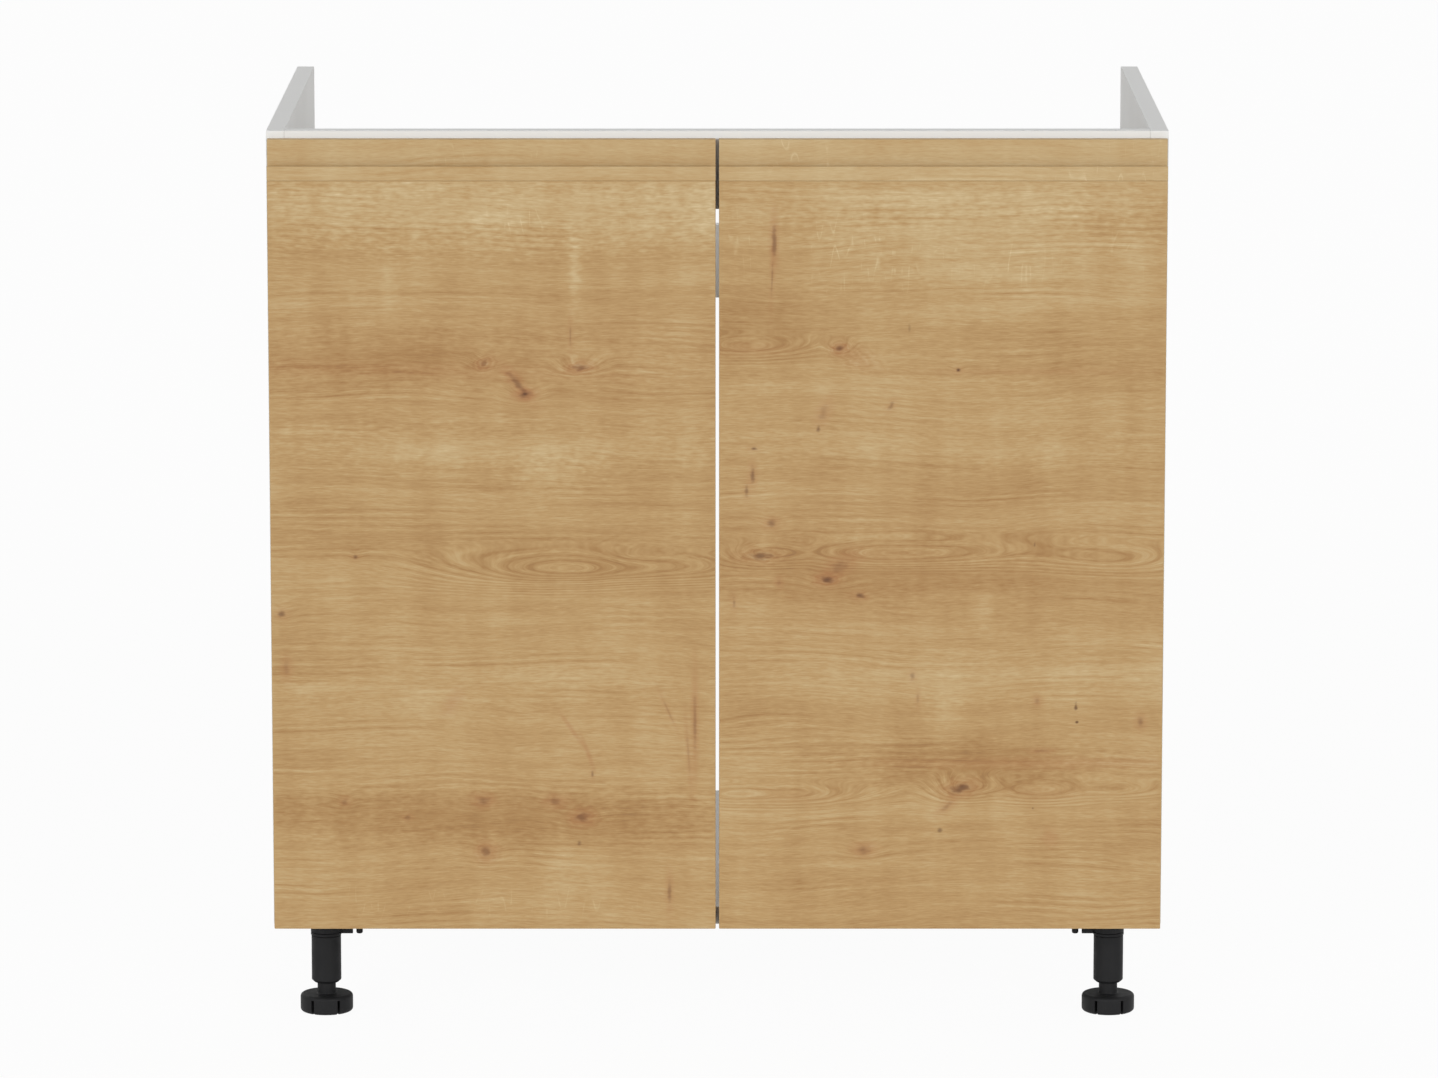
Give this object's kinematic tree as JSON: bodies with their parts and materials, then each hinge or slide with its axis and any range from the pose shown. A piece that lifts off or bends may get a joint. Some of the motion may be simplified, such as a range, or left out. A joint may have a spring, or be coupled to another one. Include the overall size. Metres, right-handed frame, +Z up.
{
  "type": "sink base cabinet",
  "caption": "Base cabinet for a kitchen sink: open top and back, low rear rail, overlay oak-look doors with grip profiles on concealed hinges, adjustable plastic legs.",
  "frame": {"origin": "on the floor under the middle of the whole box, doors included", "axes": "+Z up, doors face -Y, +X to the right seen from the front"},
  "size_m": [0.8, 0.53, 0.82],
  "materials": {
    "white_melamine": "fine satin melamine on particle board",
    "oak_laminate": "matt oak print laminate, grain across",
    "black_plastic": "moulded, satin",
    "clear_plastic": "soft clear moulding",
    "zinc_casting": "die cast, satin",
    "nickel_steel": "pressed, nickel plated"
  },
  "bodies": {
    "carcass": {"left_side_panel": "white_melamine", "right_side_panel": "white_melamine", "bottom_panel": "white_melamine", "front_rail": "white_melamine", "rear_rail": "white_melamine", "left_upper_hinge_arm": "nickel_steel", "left_upper_hinge_mounting_plate": "zinc_casting", "left_lower_hinge_arm": "nickel_steel", "left_lower_hinge_mounting_plate": "zinc_casting", "right_upper_hinge_arm": "nickel_steel", "right_upper_hinge_mounting_plate": "zinc_casting", "right_lower_hinge_arm": "nickel_steel", "right_lower_hinge_mounting_plate": "zinc_casting", "left_bottom_front_bolt": "nickel_steel", "left_bottom_front_cam": "zinc_casting", "left_bottom_rear_bolt": "nickel_steel", "left_bottom_rear_cam": "zinc_casting", "left_front_rail_bolt": "nickel_steel", "left_front_rail_cam": "zinc_casting", "left_rear_rail_bolt": "nickel_steel", "left_rear_rail_cam": "zinc_casting", "right_bottom_front_bolt": "nickel_steel", "right_bottom_front_cam": "zinc_casting", "right_bottom_rear_bolt": "nickel_steel", "right_bottom_rear_cam": "zinc_casting", "right_front_rail_bolt": "nickel_steel", "right_front_rail_cam": "zinc_casting", "right_rear_rail_bolt": "nickel_steel", "right_rear_rail_cam": "zinc_casting", "left_front_leg_socket": "black_plastic", "left_front_leg_tube": "black_plastic", "left_rear_leg_socket": "black_plastic", "left_rear_leg_tube": "black_plastic", "right_front_leg_socket": "black_plastic", "right_front_leg_tube": "black_plastic", "right_rear_leg_socket": "black_plastic", "right_rear_leg_tube": "black_plastic"},
    "left_door": {"left_door_board": "oak_laminate", "left_grip_profile": "oak_laminate", "left_door_bumper": "clear_plastic", "left_upper_hinge_cup": "nickel_steel", "left_lower_hinge_cup": "nickel_steel"},
    "right_door": {"right_door_board": "oak_laminate", "right_grip_profile": "oak_laminate", "right_door_bumper": "clear_plastic", "right_upper_hinge_cup": "nickel_steel", "right_lower_hinge_cup": "nickel_steel"},
    "left_upper_inner_link": {"left_upper_hinge_inner_link": "nickel_steel"},
    "left_upper_outer_link": {"left_upper_hinge_outer_link": "nickel_steel"},
    "left_lower_inner_link": {"left_lower_hinge_inner_link": "nickel_steel"},
    "left_lower_outer_link": {"left_lower_hinge_outer_link": "nickel_steel"},
    "right_upper_inner_link": {"right_upper_hinge_inner_link": "nickel_steel"},
    "right_upper_outer_link": {"right_upper_hinge_outer_link": "nickel_steel"},
    "right_lower_inner_link": {"right_lower_hinge_inner_link": "nickel_steel"},
    "right_lower_outer_link": {"right_lower_hinge_outer_link": "nickel_steel"},
    "left_front_foot": {"left_front_leg_foot": "black_plastic"},
    "left_rear_foot": {"left_rear_leg_foot": "black_plastic"},
    "right_front_foot": {"right_front_leg_foot": "black_plastic"},
    "right_rear_foot": {"right_rear_leg_foot": "black_plastic"}
  },
  "joints": [
    {"name": "left_upper_inner_link_turn", "type": "hinge", "parent": "carcass", "child": "left_upper_inner_link", "pos_m": [-0.3668, -0.2278, 0.7036], "axis": [0, 0, 1], "range_deg": [0, 32]},
    {"name": "left_door_swing", "type": "hinge", "parent": "left_upper_inner_link", "child": "left_door", "pos_m": [-0.389, -0.2499, 0.7036], "axis": [0, 0, -1], "range_deg": [0, 131.83]},
    {"name": "left_upper_outer_link_turn", "type": "hinge", "parent": "carcass", "child": "left_upper_outer_link", "pos_m": [-0.3654, -0.2518, 0.7036], "axis": [0, 0, 1], "range_deg": [0, 34.5]},
    {"name": "left_lower_inner_link_turn", "type": "hinge", "parent": "carcass", "child": "left_lower_inner_link", "pos_m": [-0.3668, -0.2278, 0.2], "axis": [0, 0, 1], "range_deg": [0, 32]},
    {"name": "left_lower_outer_link_turn", "type": "hinge", "parent": "carcass", "child": "left_lower_outer_link", "pos_m": [-0.3654, -0.2518, 0.2], "axis": [0, 0, 1], "range_deg": [0, 34.5]},
    {"name": "right_upper_inner_link_turn", "type": "hinge", "parent": "carcass", "child": "right_upper_inner_link", "pos_m": [0.3668, -0.2278, 0.7036], "axis": [0, 0, -1], "range_deg": [0, 32]},
    {"name": "right_door_swing", "type": "hinge", "parent": "right_upper_inner_link", "child": "right_door", "pos_m": [0.389, -0.2499, 0.7036], "axis": [0, 0, 1], "range_deg": [0, 131.83]},
    {"name": "right_upper_outer_link_turn", "type": "hinge", "parent": "carcass", "child": "right_upper_outer_link", "pos_m": [0.3654, -0.2518, 0.7036], "axis": [0, 0, -1], "range_deg": [0, 34.5]},
    {"name": "right_lower_inner_link_turn", "type": "hinge", "parent": "carcass", "child": "right_lower_inner_link", "pos_m": [0.3668, -0.2278, 0.2], "axis": [0, 0, -1], "range_deg": [0, 32]},
    {"name": "right_lower_outer_link_turn", "type": "hinge", "parent": "carcass", "child": "right_lower_outer_link", "pos_m": [0.3654, -0.2518, 0.2], "axis": [0, 0, -1], "range_deg": [0, 34.5]},
    {"name": "left_front_foot_height", "type": "slide", "parent": "carcass", "child": "left_front_foot", "axis": [0, 0, -1], "range_m": [-0.01, 0.025]},
    {"name": "left_rear_foot_height", "type": "slide", "parent": "carcass", "child": "left_rear_foot", "axis": [0, 0, -1], "range_m": [-0.01, 0.025]},
    {"name": "right_front_foot_height", "type": "slide", "parent": "carcass", "child": "right_front_foot", "axis": [0, 0, -1], "range_m": [-0.01, 0.025]},
    {"name": "right_rear_foot_height", "type": "slide", "parent": "carcass", "child": "right_rear_foot", "axis": [0, 0, -1], "range_m": [-0.01, 0.025]}
  ],
  "couplings": [
    {"joint": "left_upper_inner_link_turn", "follows": "left_door_swing", "ratio": 0.24149},
    {"joint": "left_upper_outer_link_turn", "follows": "left_door_swing", "ratio": 0.25831},
    {"joint": "left_lower_inner_link_turn", "follows": "left_door_swing", "ratio": 0.24149},
    {"joint": "left_lower_outer_link_turn", "follows": "left_door_swing", "ratio": 0.25831},
    {"joint": "right_upper_inner_link_turn", "follows": "right_door_swing", "ratio": 0.24149},
    {"joint": "right_upper_outer_link_turn", "follows": "right_door_swing", "ratio": 0.25831},
    {"joint": "right_lower_inner_link_turn", "follows": "right_door_swing", "ratio": 0.24149},
    {"joint": "right_lower_outer_link_turn", "follows": "right_door_swing", "ratio": 0.25831}
  ]
}
